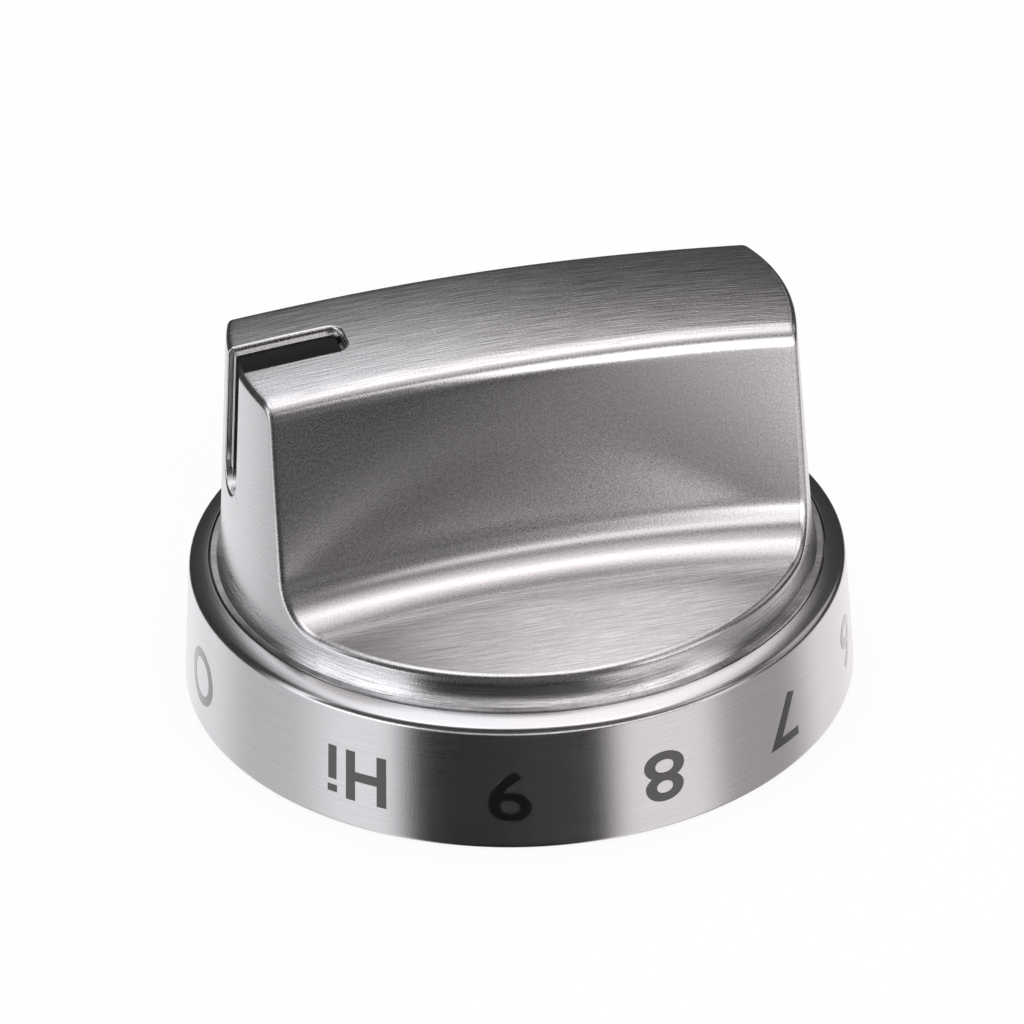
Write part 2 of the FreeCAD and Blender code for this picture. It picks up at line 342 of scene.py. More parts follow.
# Dial print
# Figures in dark ink, pad printed on the skirt's wall at even steps of the dial and cured on the metal.
# Their heads point to the panel, so that they read from the front once the knob is fitted.
ink_proud, ink_sunk = 0.012, 0.008
outline_weld, film_weld = 0.002, 0.0003
ink_speck = 1 / 6
figure_height = 4.45
capital_share = 0.7
figure_middle_z = 5.13
figure_weight, word_weight = 0.09, 0.15
letter_gap = 1.12
curve_steps = 8
dot_cut = 0.32
off_mark_size = 1.1
high_width, off_width, low_width, figure_width = 0.94, 0.98, 1.1, 1.24
figure_step = 26.4
high_mark_angle = -132.4
off_mark_angle = -174.6
dial_marks = [("Hi", high_width, high_mark_angle), ("O", off_width, off_mark_angle),
              ("Lo", low_width, high_mark_angle + 9 * figure_step)]
dial_marks += [(str(figure), figure_width, high_mark_angle + (10 - figure) * figure_step)
               for figure in range(9, 1, -1)]


def wall_print_tree():
    """Bends a flat strip of print, drawn along X and up Y, round the drafted wall, and makes it a closed
    film of ink that starts a little under the wall's face."""
    tree = bpy.data.node_groups.new("wall_print", "GeometryNodeTree")
    tree.interface.new_socket("Geometry", in_out="INPUT", socket_type="NodeSocketGeometry")
    for name in ("Wall Radius", "Lean", "Sunk", "Film", "Middle Height"):
        tree.interface.new_socket(name, in_out="INPUT", socket_type="NodeSocketFloat")
    tree.interface.new_socket("Ink", in_out="INPUT", socket_type="NodeSocketMaterial")
    tree.interface.new_socket("Geometry", in_out="OUTPUT", socket_type="NodeSocketGeometry")
    add, link = tree.nodes.new, tree.links.new
    put_in, put_out = add("NodeGroupInput"), add("NodeGroupOutput")

    def calc(operation, *values):
        return maths(tree, operation, *values)

    def step(kind, mesh, values=()):
        """Next node of the chain, with numbers or outputs for its other inputs."""
        node = add(kind)
        link(mesh, node.inputs[0])
        for label, value in dict(values).items():
            if isinstance(value, bpy.types.NodeSocket):
                link(value, node.inputs[label])
            else:
                node.inputs[label].default_value = value
        return node.outputs[0]

    place = add("GeometryNodeInputPosition")
    split = add("ShaderNodeSeparateXYZ")
    link(place.outputs[0], split.inputs[0])
    height = calc("ADD", split.outputs[1], put_in.outputs["Middle Height"])
    wall = calc("SUBTRACT", put_in.outputs["Wall Radius"], calc("MULTIPLY", height, put_in.outputs["Lean"]))
    wall = calc("SUBTRACT", wall, put_in.outputs["Sunk"])
    angle = calc("DIVIDE", split.outputs[0], put_in.outputs["Wall Radius"])
    bent = add("ShaderNodeCombineXYZ")
    link(calc("MULTIPLY", wall, calc("COSINE", angle)), bent.inputs[0])
    link(calc("MULTIPLY", wall, calc("SINE", angle)), bent.inputs[1])
    link(height, bent.inputs[2])
    finer = step("GeometryNodeSubdivideMesh", put_in.outputs["Geometry"], {"Level": 2})
    moved = step("GeometryNodeSetPosition", finer, {"Position": bent.outputs[0]})
    film = step("GeometryNodeExtrudeMesh", moved,
                {"Individual": False, "Offset Scale": put_in.outputs["Film"]})
    back = step("GeometryNodeFlipFaces", moved)
    both = add("GeometryNodeJoinGeometry")
    link(film, both.inputs[0])
    link(back, both.inputs[0])
    closed = step("GeometryNodeMergeByDistance", both.outputs[0], {"Distance": film_weld * MM})
    smooth = step("GeometryNodeSetShadeSmooth", closed)
    real = step("GeometryNodeRealizeInstances", smooth)
    inked = step("GeometryNodeSetMaterial", real, {"Material": put_in.outputs["Ink"]})
    link(inked, put_out.inputs[0])
    return tree


def made_by(piece, tree, values):
    """Runs a node tree on a piece with values for its named inputs, and keeps the result as a plain mesh."""
    maker = piece.modifiers.new(tree.name, "NODES")
    maker.node_group = tree
    for item in tree.interface.items_tree:
        if item.in_out == "INPUT" and item.name in values:
            maker[item.identifier] = values[item.name]
    keep_result(piece)


def square_dot(letters_mesh):
    """Makes the smallest separate shape of the letters, the dot on the i, a rectangle."""
    bm = bmesh.new()
    bm.from_mesh(letters_mesh)
    bmesh.ops.remove_doubles(bm, verts=bm.verts, dist=outline_weld * MM)
    left, shapes = set(bm.verts), []
    while left:
        shape, edge = set(), [next(iter(left))]
        while edge:
            vert = edge.pop()
            if vert not in shape:
                shape.add(vert)
                edge += [e.other_vert(vert) for e in vert.link_edges]
        left -= shape
        shapes.append(shape)
    dot = min(shapes, key=lambda shape: max(v.co.y for v in shape) - min(v.co.y for v in shape))
    x0, x1 = min(v.co.x for v in dot), max(v.co.x for v in dot)
    y0, y1 = min(v.co.y for v in dot), max(v.co.y for v in dot)
    y0 += dot_cut * (y1 - y0)
    bmesh.ops.delete(bm, geom=list(dot), context="VERTS")
    bm.faces.new([bm.verts.new((x, y, 0)) for x, y in ((x0, y0), (x1, y0), (x1, y1), (x0, y1))])
    bm.to_mesh(letters_mesh)
    bm.free()


flat_print = bmesh.new()
for words, widen, angle in dial_marks:
    letters = bpy.data.curves.new("figure", "FONT")
    letters.body = words
    letters.align_x = "CENTER"
    letters.align_y = "CENTER"
    letters.size = figure_height / capital_share * MM * (off_mark_size if words == "O" else 1)
    letters.offset = (word_weight if words in ("Hi", "Lo") else figure_weight) * MM
    letters.space_character = letter_gap
    letters.resolution_u = curve_steps
    sign = placed("figure", letters)
    figure = result_of(sign)
    bpy.data.objects.remove(sign)
    if "i" in words:
        square_dot(figure)
    along_wall = math.radians(angle) * skirt_radius * MM
    figure.transform(Matrix.Translation((along_wall, 0, 0)) @ Matrix.Diagonal((-widen, -1, 1, 1)))
    flat_print.from_mesh(figure)
    bpy.data.meshes.remove(figure)
bmesh.ops.remove_doubles(flat_print, verts=flat_print.verts, dist=outline_weld * MM)
bmesh.ops.dissolve_degenerate(flat_print, edges=flat_print.edges, dist=outline_weld * MM)
print_mesh = bpy.data.meshes.new("dial_print")
flat_print.to_mesh(print_mesh)
flat_print.free()
dial_print = placed("dial_print", print_mesh)


def spots(tree, size, detail=2.0):
    """Noise with spots of about that size in millimetres, on the piece's own coordinates."""
    place = tree.nodes.new("ShaderNodeTexCoord")
    noise = tree.nodes.new("ShaderNodeTexNoise")
    noise.inputs["Scale"].default_value = 1 / (size * MM)
    noise.inputs["Detail"].default_value = detail
    tree.links.new(place.outputs["Object"], noise.inputs["Vector"])
    return noise.outputs["Fac"]


dial_ink, ink_tree, ink = new_material("dial_ink")
ink_shades = mixed(ink_tree, spots(ink_tree, ink_speck), (0.006, 0.0055, 0.0057), (0.012, 0.011, 0.0115))
ink_tree.links.new(ink_shades, ink.inputs["Base Color"])
for gloss in ("Roughness", "Coat Roughness"):
    ink.inputs[gloss].default_value = 0.12
for clear in ("IOR", "Coat IOR"):
    ink.inputs[clear].default_value = 1.6
ink.inputs["Coat Weight"].default_value = 1.0
print_mesh.materials.append(dial_ink)
made_by(dial_print, wall_print_tree(), {
    "Wall Radius": skirt_radius * MM, "Lean": lean, "Sunk": ink_sunk * MM,
    "Film": (ink_sunk + ink_proud) * MM, "Middle Height": figure_middle_z * MM, "Ink": dial_ink})
dial_print.data.set_sharp_from_angle(angle=sharp_angle)
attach(dial_print, "root")


# Grip
# A die-cast round slug, drafted and crowned, with a scoop on each side that leaves the bar to hold.
# Top and scoop floors are brushed along the bar, walls and ends are satin, the foot is turned.
grip_radius = 24.85
grip_draft = math.radians(4.2)
grip_height = 34.35
crown_radius = 220.0
cross_radius = 70.0
grip_wall = 2.3
foot_radius = 25.9
cove_radius = 8.0
cove_z = 13.57
scoop_floor = 14.35
scoop_fillet = 4.2
waist_low, waist_high = 15.1, 16.6
end_width_low, end_width_high = 21.4, 15.6
bar_ends_apart = 44.0
scoop_reach = skirt_radius + 5.0
bow_above = 1.25
bar_edge_round = 1.75
grip_edge_round = 0.6
inner_edge_round, inner_rim_round = 0.5, 0.2
foot_ease = 0.1
ledge_row = 0.03
cove_steps = 8
fillet_passes = 6
halvings = 44
end_search = (12.0, 25.5)
# Tones: how far each surface is brushed, and where the brushing starts over the bar's edge and its fillet
brushed_tone, turned_tone, rim_tone, satin_tone = 1.0, 0.5, 0.2, 0.0
brushed_from = 2.3
floor_edge_tone, floor_fade = 0.5, 1.2
most_satin_tone = 0.45
floor_band = 1.0
grip_colour = (0.72, 0.706, 0.719)


def unit(v):
    return v / np.linalg.norm(v, axis=-1, keepdims=True)


def swing(a, b, t):
    """Directions turned from a to b by a share t of the angle between them."""
    angle = np.arccos(np.clip(np.sum(a * b, axis=-1), -1, 1))[..., None]
    t = np.asarray(t)[..., None]
    return (np.sin((1 - t) * angle) * a + np.sin(t * angle) * b) / np.sin(angle)


def cone_radius(z, inset=0.0):
    """Radius of the drafted slug at a height, or of its inner side at an inset."""
    return grip_radius - (z - scoop_floor) * math.tan(grip_draft) - inset / math.cos(grip_draft)


def bow(x, waist, width):
    """Half width of the bar along its length, on the arc through its waist and its ends."""
    rise = (width - waist) * (2 * scoop_reach / bar_ends_apart) ** 2 / 2
    radius = (scoop_reach ** 2 + rise ** 2) / (2 * abs(rise))
    return waist / 2 + math.copysign(1, rise) * (radius - np.sqrt(radius ** 2 - x ** 2))


def half_width(x, z, inset):
    """Half width of the bar at a height, on straight lines from its low bow to a bow above its top."""
    share = (z - scoop_floor) / (grip_height - scoop_floor)
    low = bow(x, waist_low, end_width_low)
    high = bow(x, waist_low + (waist_high - waist_low) * bow_above,
               end_width_low + (end_width_high - end_width_low) * bow_above)
    return low + (high - low) * share / bow_above - inset


def wall(x, z, inset, step=0.01):
    """Point and outward direction of the near wall of the bar."""
    p = np.stack([x, -half_width(x, z, inset), z], axis=-1)
    along = (half_width(x + step, z, inset) - half_width(x - step, z, inset)) / (2 * step)
    upward = (half_width(x, z + step, inset) - half_width(x, z - step, inset)) / (2 * step)
    return p, unit(np.stack([-along, -np.ones_like(x), -upward], axis=-1))


def crown_depth(p, inset):
    """Depth of a point under the crowned top, and the top's outward direction there."""
    z0 = grip_height - crown_radius
    along = np.hypot(p[..., 0], p[..., 2] - z0)
    q = along - crown_radius + cross_radius
    h = np.hypot(p[..., 1], q)
    out = np.stack([q / h * p[..., 0] / along, p[..., 1] / h, q / h * (p[..., 2] - z0) / along], axis=-1)
    return cross_radius - inset - h, out


def crown_z(x, y, inset):
    """Height of the crowned top."""
    along = crown_radius - cross_radius + np.sqrt((cross_radius - inset) ** 2 - y ** 2)
    return grip_height - crown_radius + np.sqrt(along ** 2 - x ** 2)


def bar_skin(x, s, inset, edge):
    """Point and direction of the bar's skin at a place along it. Across it, s runs 0 to 1 up the fillet of
    the near floor, to 2 up the wall, to 3 over the edge, to 5 over the crown, and down the far side to 8."""
    far = s > 4
    s = np.where(far, 8 - s, s)
    fillet = scoop_fillet + inset
    floor = scoop_floor - inset
    z_low = np.full_like(x, floor + fillet)
    for _ in range(fillet_passes):
        p_low, n_low = wall(x, z_low, inset)
        z_low = floor + fillet - fillet * n_low[..., 2]
    p_low, n_low = wall(x, z_low, inset)
    lo, hi = np.full_like(x, floor + fillet), np.full_like(x, grip_height - inset)
    for _ in range(halvings):
        middle = (lo + hi) / 2
        p_high, n_high = wall(x, middle, inset)
        depth, _ = crown_depth(p_high - edge * n_high, inset)
        lo, hi = np.where(depth > edge, middle, lo), np.where(depth > edge, hi, middle)
    z_high = (lo + hi) / 2
    p_high, n_high = wall(x, z_high, inset)
    centre_high = p_high - edge * n_high
    _, n_top = crown_depth(centre_high, inset)
    p_top = centre_high + edge * n_top

    down = np.zeros(x.shape + (3,))
    down[..., 2] = -1
    d0 = swing(down, -n_low, np.clip(s, 0, 1))
    p0, n0 = p_low + fillet * n_low + fillet * d0, -d0
    p1, n1 = wall(x, z_low + (z_high - z_low) * np.clip(s - 1, 0, 1), inset)
    n2 = swing(n_high, n_top, np.clip(s - 2, 0, 1))
    p2 = centre_high + edge * n2
    y = p_top[..., 1] * (1 - np.clip(s - 3, 0, 1))
    p3 = np.stack([p_top[..., 0], y, crown_z(p_top[..., 0], y, inset)], axis=-1)
    _, n3 = crown_depth(p3, inset)
    place = s[..., None]
    p = np.where(place <= 1, p0, np.where(place <= 2, p1, np.where(place <= 3, p2, p3)))
    n = np.where(place <= 1, n0, np.where(place <= 2, n1, np.where(place <= 3, n2, n3)))
    mirror = np.where(far[..., None], np.array([1.0, -1.0, 1.0]), 1.0)
    return p * mirror, n * mirror


def cone_ball(p, n, inset, radius):
    """Ball that rounds the edge to the cone: its centre, its gap to the cone, the cone's direction."""
    c = p - radius * n
    r = np.hypot(c[..., 0], c[..., 1])
    gap = (cone_radius(c[..., 2], inset) - r) * math.cos(grip_draft) - radius
    out = np.stack([c[..., 0] / r * math.cos(grip_draft), c[..., 1] / r * math.cos(grip_draft),
                    np.full_like(r, math.sin(grip_draft))], axis=-1)
    return c, gap, out


class Skin:
    """Points, faces and brush lines of a piece as it is put together from strips."""

    def __init__(self):
        self.points, self.lines, self.tone, self.faces = [], [], [], []

    def add(self, points, lines, tone):
        points = np.asarray(points).reshape(-1, 3)
        start = len(self.points)
        self.points += points.tolist()
        self.lines += np.broadcast_to(np.asarray(lines, float), (len(points), 2)).tolist()
        self.tone += np.broadcast_to(np.asarray(tone, float), (len(points),)).tolist()
        return np.arange(start, start + len(points))

    def at(self, indices):
        return np.array([self.points[i] for i in indices])

    def strip(self, a, b, closed=False, gap=range(0)):
        """Faces between two rows of points, left out where the gap is."""
        a, b = list(a), list(b)
        if closed:
            a, b = a + a[:1], b + b[:1]
        for i in range(len(a) - 1):
            if i in gap:
                continue
            ring = list(dict.fromkeys(int(v) for v in (a[i], a[i + 1], b[i + 1], b[i])))
            if len(ring) > 2:
                self.faces.append(ring)


def even(first, last, count):
    return np.linspace(first, last, count + 1)


# Rows over the near fillet, wall, edge and half of the crown, and the same again down the far side
half_rows = (14, 26, 10, 16)
across = [even(i, i + 1, rows)[:-1] for i, rows in enumerate(half_rows + half_rows[::-1])]
across = np.concatenate(across + [[8]])
middle_line = len(across) // 2
station_count, station_turn, end_station = 76, math.pi / 2 * 0.94, 0.994
stations = np.sin(even(-1, 1, station_count) * station_turn) / math.sin(station_turn)
stations = np.concatenate([[-1, -end_station], stations[1:-1], [end_station, 1]])
edge_shares = even(0, 1, 7)[1:]
floor_shares = (0.02, 0.15, 0.3, 0.45, 0.6, 0.75, 0.88, 0.97, 1)
end_shares = (0.02, 0.1, 0.2, 0.3, 0.4, 0.5, 0.6, 0.7, 0.8, 0.9, 1)


def shell(skin, inset, edge, rim, window=None):
    """One side of the grip's wall: bar, floors, rounded rim and end walls. Returns its lowest loop, and the
    loop round the window that is left open for the pointer groove, from the window's inner middle."""
    low, high = (np.full_like(across, limit) for limit in end_search)
    for _ in range(halvings):
        x = (low + high) / 2
        p, n = bar_skin(x, across, inset, edge)
        _, gap, _ = cone_ball(p, n, inset, rim)
        low, high = np.where(gap > 0, x, low), np.where(gap > 0, high, x)
    ends = (low + high) / 2
    u, s = np.meshgrid(stations, across, indexing="ij")
    p, n = bar_skin(u * ends[None, :], s, inset, edge)
    run = length_along(p[len(stations) // 2])
    run -= run[-1] / 2
    side = np.minimum(s, 8 - s)
    tone = np.clip(side - brushed_from, 0, 1)
    tone = np.maximum(tone, np.clip(floor_edge_tone - side * floor_fade, 0, 1))
    lines = np.stack([p[..., 0], np.broadcast_to(run, s.shape)], axis=-1)
    bar = skin.add(p, lines.reshape(-1, 2), tone.ravel())
    bar = bar.reshape(len(stations), len(across))
    inner_row, first_line, lowest_row = window or (0, 0, 0)
    last_line = len(across) - 1 - first_line
    open_lines = range(first_line, last_line)
    for i in range(len(stations) - 1):
        skin.strip(bar[i], bar[i + 1], gap=open_lines if i < inner_row else range(0))

    def floor(foot, sign):
        """Flat floor of a scoop from the bar's foot to the round edge. Returns the edge."""
        corner = np.array(skin.points[foot[-1]])
        reach = math.hypot(corner[0], corner[1])
        turn = math.atan2(abs(corner[1]), corner[0])
        rows = [foot]
        foot_points = skin.at(foot)
        a = math.pi / 2 - stations * (math.pi / 2 - turn)
        arc = np.stack([reach * np.cos(a), sign * reach * np.sin(a), foot_points[:, 2]], axis=-1)
        for share in floor_shares:
            row = foot_points * (1 - share) + arc * share
            inside = skin.add(row[1:-1], row[1:-1, :2], brushed_tone)
            rows.append(np.concatenate([foot[:1], inside, foot[-1:]]))
        for one, two in zip(rows, rows[1:]):
            skin.strip(one, two)
        return rows[-1]

    near = floor(bar[:, 0], -1)
    far = floor(bar[:, -1], 1)

    loop = np.concatenate([near, bar[-1, 1:], far[::-1][1:], bar[0, ::-1][1:-1]])
    up = np.zeros((len(stations), 3))
    up[:, 2] = 1
    edge_points = skin.at(loop)
    edge_out = np.concatenate([up, n[-1, 1:], up[1:], n[0, ::-1][1:-1]])
    c, _, cone_out = cone_ball(edge_points, edge_out, inset, rim)
    angle = np.unwrap(np.arctan2(edge_points[:, 1], edge_points[:, 0]))
    around = angle * skirt_radius
    count = len(stations)
    first, last = count - 1, count - 1 + len(across) - 1
    right = np.arange(first, last + 1)
    left = np.concatenate([np.arange(last + count - 1, len(loop)), [0]])
    rings = [loop]
    open_columns = range(left[first_line], left[last_line]) if window else range(0)
    for share in edge_shares:
        ring_points = c + rim * swing(edge_out, cone_out, np.full(len(loop), share))
        rings.append(skin.add(ring_points, np.stack([around, ring_points[:, 2]], axis=-1), rim_tone))
        skin.strip(rings[-2], rings[-1], closed=True, gap=open_columns)
    ring_points = skin.at(rings[-1])
    low_z = ring_points[0, 2]
    base = np.array(rings[-1])
    for columns in (right, left):
        rows = [rings[-1][columns]]
        top = ring_points[columns]
        a = np.arctan2(top[:, 1], top[:, 0])
        a = np.where(a < 0, a + 2 * math.pi, a) if columns is left else a
        for share in end_shares:
            z = top[:, 2] + (low_z - top[:, 2]) * share
            r = cone_radius(z, inset)
            row_points = np.stack([r * np.cos(a), r * np.sin(a), z], axis=-1)
            line = np.stack([a * skirt_radius, z], axis=-1)
            inside = skin.add(row_points[1:-1], line[1:-1], satin_tone)
            rows.append(np.concatenate([rows[0][:1], inside, rows[0][-1:]]))
        for i in range(len(rows) - 1):
            hole = window and columns is left and i < lowest_row
            skin.strip(rows[i], rows[i + 1], gap=open_lines if hole else range(0))
        base[columns] = rows[-1]
    if not window:
        return base, None

    def window_side(inner, line, column, foot):
        side = [bar[inner_row, j] for j in inner] + [bar[i, line] for i in range(inner_row, -1, -1)]
        side += [ring[left[column]] for ring in rings[1:]] + [row[column] for row in rows[1:lowest_row + 1]]
        return side + [rows[lowest_row][k] for k in foot]

    far_side = window_side(range(middle_line, last_line), last_line, first_line,
                           range(first_line + 1, middle_line))
    near_side = window_side(range(middle_line - 1, first_line, -1), first_line, last_line,
                            range(last_line - 1, middle_line, -1))
    return base, far_side + [rows[lowest_row][middle_line]] + near_side[::-1]


def lathe_rows(skin, base, rows, tone):
    """Rings under a loop, each at a radius and height, at the loop's own angles."""
    points = skin.at(base)
    a = np.unwrap(np.arctan2(points[:, 1], points[:, 0]))
    before = base
    for r, z in rows:
        ring = skin.add(np.stack([r * np.cos(a), r * np.sin(a), np.full_like(a, z)], axis=-1),
                        np.stack([a * skirt_radius, np.full_like(a, z)], axis=-1), tone)
        skin.strip(before, ring, closed=True)
        before = ring
    return before


# Pointer groove: milled in two steps from the top of the bar over its end, with its mouth eased
groove_width = 4.1
groove_start = 14.1
groove_foot = 20.7
groove_corner = 1.1
groove_step = 0.6
groove_ledge = 0.35
ledge_at_ends = 0.12
groove_depth = 1.5
groove_ease = 0.2
groove_bevel = 0.04
mouth_margin = 0.06
least_corner, least_rim = 0.3, 0.06
corner_margin = 0.4
corner_steps = 12
strip_start, strip_end = 10.0, 18.0
turn_search = (18.0, 25.0)
window_start, window_foot = -0.53, 8


def pointer_turn(y, inset):
    """Where the top meets the rounded end edge at that distance from the middle: place, ball, directions."""
    rim = max(grip_edge_round - inset, least_rim)
    low, high = (np.full_like(y, limit) for limit in turn_search)
    for _ in range(halvings):
        x = (low + high) / 2
        p = np.stack([-x, y, crown_z(x, y, inset)], axis=-1)
        _, n = crown_depth(p, inset)
        c, gap, out = cone_ball(p, n, inset, rim)
        low, high = np.where(gap > 0, x, low), np.where(gap > 0, high, x)
    return x, c, n, out, rim


def pointer_skin(t, y, inset):
    """Skin of the pointer's strip: t runs to 1 along the top, to 2 round the end edge, to 3 down the end."""
    x_edge, c, n, out, rim = pointer_turn(y, inset)
    z_edge = (c + rim * out)[..., 2]
    x = strip_start + (x_edge - strip_start) * np.clip(t, 0, 1)
    top = np.stack([-x, y, crown_z(x, y, inset)], axis=-1)
    turn = c + rim * swing(n, out, np.clip(t - 1, 0, 1))
    z = z_edge + (strip_end - z_edge) * np.clip(t - 2, 0, 1)
    end = np.stack([-np.sqrt(cone_radius(z, inset) ** 2 - y ** 2), y, z], axis=-1)
    place = t[..., None]
    return np.where(place <= 1, top, np.where(place <= 2, turn, end))


def top_place(x, y, inset):
    """Place t of a point on the top of the pointer's strip."""
    x_edge = pointer_turn(y, inset)[0]
    return (x - strip_start) / (x_edge - strip_start)


def end_place(z, y, inset):
    """Place t of a point on the end of the pointer's strip."""
    _, c, _, out, rim = pointer_turn(y, inset)
    z_edge = (c + rim * out)[..., 2]
    return 2 + (z_edge - z) / (z_edge - strip_end)


def along_path(path, shares):
    """Points at shares of the length of a path."""
    run = length_along(path)
    return np.stack([np.interp(np.asarray(shares) * run[-1], run, path[:, k]) for k in (0, 1)], axis=-1)


def run_shares(path):
    run = length_along(path)
    return run / run[-1]


grip_skin = Skin()
inner_row = int(np.searchsorted(stations, window_start))
first_line = sum(half_rows[:3]) + half_rows[3] // 2
outer, mouth = shell(grip_skin, 0.0, bar_edge_round, grip_edge_round, (inner_row, first_line, window_foot))
cove_centre = (cone_radius(cove_z) + cove_radius * math.cos(grip_draft),
               cove_z + cove_radius * math.sin(grip_draft))
cove_start = math.pi + grip_draft
cove_end = math.pi + math.asin((cove_centre[1] - skirt_height) / cove_radius)
cove = [(cove_centre[0] + cove_radius * math.cos(a), cove_centre[1] + cove_radius * math.sin(a))
        for a in even(cove_start, cove_end, cove_steps)]
foot = [(cove[-1][0] + ledge_row, skirt_height), (foot_radius - foot_ease, skirt_height),
        (foot_radius, skirt_height - foot_ease), (foot_radius, seat_z)]
outer = lathe_rows(grip_skin, outer, cove + foot, turned_tone)

# Half of the window's loop, from its inner middle to its foot. The other half is its mirror image.
half_count = len(mouth) // 2
half_loop = grip_skin.at(mouth)[:half_count + 1]
loop_place = np.arange(half_count + 1)
on_top = loop_place <= middle_line - first_line + inner_row
on_end = loop_place > half_count - (middle_line - first_line) - window_foot
inner_end = on_top & (-half_loop[:, 0] < groove_start + groove_corner + corner_margin)
foot_end = on_end & (half_loop[:, 2] < groove_foot + groove_width / 2 + corner_margin)
turn_shares = np.zeros(half_count + 1)
edge_first = int(np.sum(on_top))
turn_shares[edge_first:edge_first + len(edge_shares)] = edge_shares


def groove_loop(margin, inset, blend):
    """Closed loop of the groove at a margin outside its wall and a depth, part of the way to the window."""
    half = groove_width / 2 + margin
    at_ends = margin if margin > 0 else margin * ledge_at_ends
    start = groove_start - at_ends
    corner = max(groove_corner + margin, least_corner)
    foot_z = groove_foot - at_ends
    quarter = even(0, math.pi / 2, corner_steps)
    inner_arc = np.stack([start + corner - corner * np.cos(quarter),
                          half - corner + corner * np.sin(quarter)], axis=-1)
    inner_path = np.concatenate([[[start, 0]], inner_arc, [[-half_loop[inner_end][-1, 0], half]]])
    foot_arc = np.stack([foot_z + half - half * np.sin(quarter), half * np.cos(quarter)], axis=-1)
    foot_path = np.concatenate([[[half_loop[foot_end][0, 2], half]], foot_arc])

    def part_way(wanted, now):
        return wanted * (1 - blend) + now * blend

    x_now, y_now, z_now = -half_loop[:, 0], half_loop[:, 1], half_loop[:, 2]
    y = part_way(np.full(half_count + 1, half), y_now)
    wanted = along_path(inner_path, run_shares(half_loop[inner_end][:, :2]))
    y[inner_end] = part_way(wanted[:, 1], y_now[inner_end])
    inner_x = part_way(wanted[:, 0], x_now[inner_end])
    wanted = along_path(foot_path, run_shares(half_loop[foot_end][:, 1:]))
    y[foot_end] = part_way(wanted[:, 1], y_now[foot_end])
    end_z = part_way(wanted[:, 0], z_now[foot_end])
    t = np.zeros(half_count + 1)
    t[on_top] = top_place(x_now[on_top], y_now[on_top], 0.0)
    t[inner_end] = top_place(inner_x, y[inner_end], inset)
    turning = turn_shares > 0
    t[turning] = 1 + turn_shares[turning]
    t[on_end] = end_place(z_now[on_end], y_now[on_end], 0.0)
    t[foot_end] = end_place(end_z, y[foot_end], inset)
    one = pointer_skin(t, y, inset)
    two = one[1:-1][::-1] * np.array([1.0, -1.0, 1.0])
    tone = np.where(t <= 1, brushed_tone, satin_tone)
    return np.concatenate([one, two]), np.concatenate([tone, tone[1:-1][::-1]])


groove_loops = [(groove_ease, 0.0, 0.6), (groove_ease, 0.0, 0.25), (groove_ease + mouth_margin, 0.0, 0.0)]
groove_loops += [(groove_ease * (1 - math.sin(a)), groove_ease * (1 - math.cos(a)), 0.0)
                 for a in even(0, math.pi / 2, 4)]
groove_loops += [(0.0, groove_step - groove_bevel, 0.0), (-groove_bevel, groove_step, 0.0),
                 (groove_bevel - groove_ledge, groove_step, 0.0),
                 (-groove_ledge, groove_step + groove_bevel, 0.0), (-groove_ledge, groove_depth, 0.0)]
before = np.array(mouth)
for margin, inset, blend in groove_loops:
    loop_points, tone = groove_loop(margin, inset, blend)
    ring = grip_skin.add(loop_points, loop_points[:, :2], tone if inset == 0 else satin_tone)
    grip_skin.strip(before, ring, closed=True)
    before = ring
grip_skin.strip(before[:half_count + 1], np.concatenate([before[:1], before[half_count:][::-1]]))
inner, _ = shell(grip_skin, grip_wall, inner_edge_round, inner_rim_round)
inner = lathe_rows(grip_skin, inner, [(cone_radius(seat_z, grip_wall), seat_z)], turned_tone)
grip_skin.strip(outer, inner, closed=True)


def grip_finish(face):
    """Brushed top and turned foot, satin walls, or brushed scoop floor."""
    tones = [grip_skin.tone[v.index] for v in face.verts]
    if sum(tones) / len(tones) <= most_satin_tone:
        return 1
    return 2 if abs(face.calc_center_median().z / MM - scoop_floor) < floor_band else 0


grip = skin_mesh("grip_cast", grip_skin.points, grip_skin.faces, grip_skin.lines, grip_finish)
for finish in (
        metal_finish("grip_brushed", grip_colour, roughness=0.235, drawn=0.5,
                     brush_sizes=(0.17, 5.0, 0.2, 1.0, 0.4), relief=0.4, streak=0.3),
        metal_finish("grip_satin", grip_colour, roughness=0.265, drawn=0.0,
                     brush_sizes=(0.3, 6.0, 0.2, 0.12, 0.7), relief=0.13, streak=0.11),
        metal_finish("grip_floor_brushed", grip_colour, roughness=0.21, drawn=0.15,
                     brush_sizes=(0.17, 4.5, 0.2, 1.0, 0.5), relief=0.4, streak=0.26)):
    grip.data.materials.append(finish)

# Screw bosses inside the grip, with ribs that tie them to its ends
boss_foot, boss_top = web_z + 0.15, 31.9
boss_hole_radius, boss_hole_depth = 1.5, 9.0
rib_width, rib_foot = 1.8, seat_z + 2.0
rib_root = 0.4


def boss_rib(side):
    """Upright slab from a boss into the end wall of the grip."""
    reach = grip_wall - rib_root
    ends = [(screw_spacing / 2, rib_foot), (cone_radius(rib_foot, reach), rib_foot),
            (cone_radius(boss_top, reach), boss_top), (screw_spacing / 2, boss_top)]
    points = [(side * x * MM, y * rib_width / 2 * MM, z * MM) for y in (-1, 1) for x, z in ends]
    faces = [(0, 1, 2, 3), (7, 6, 5, 4)] + [(i, i + 4, (i + 1) % 4 + 4, (i + 1) % 4) for i in range(4)]
    mesh = bpy.data.meshes.new("rib")
    mesh.from_pydata(points, [], [face if side > 0 else face[::-1] for face in faces])
    return placed("rib", mesh)


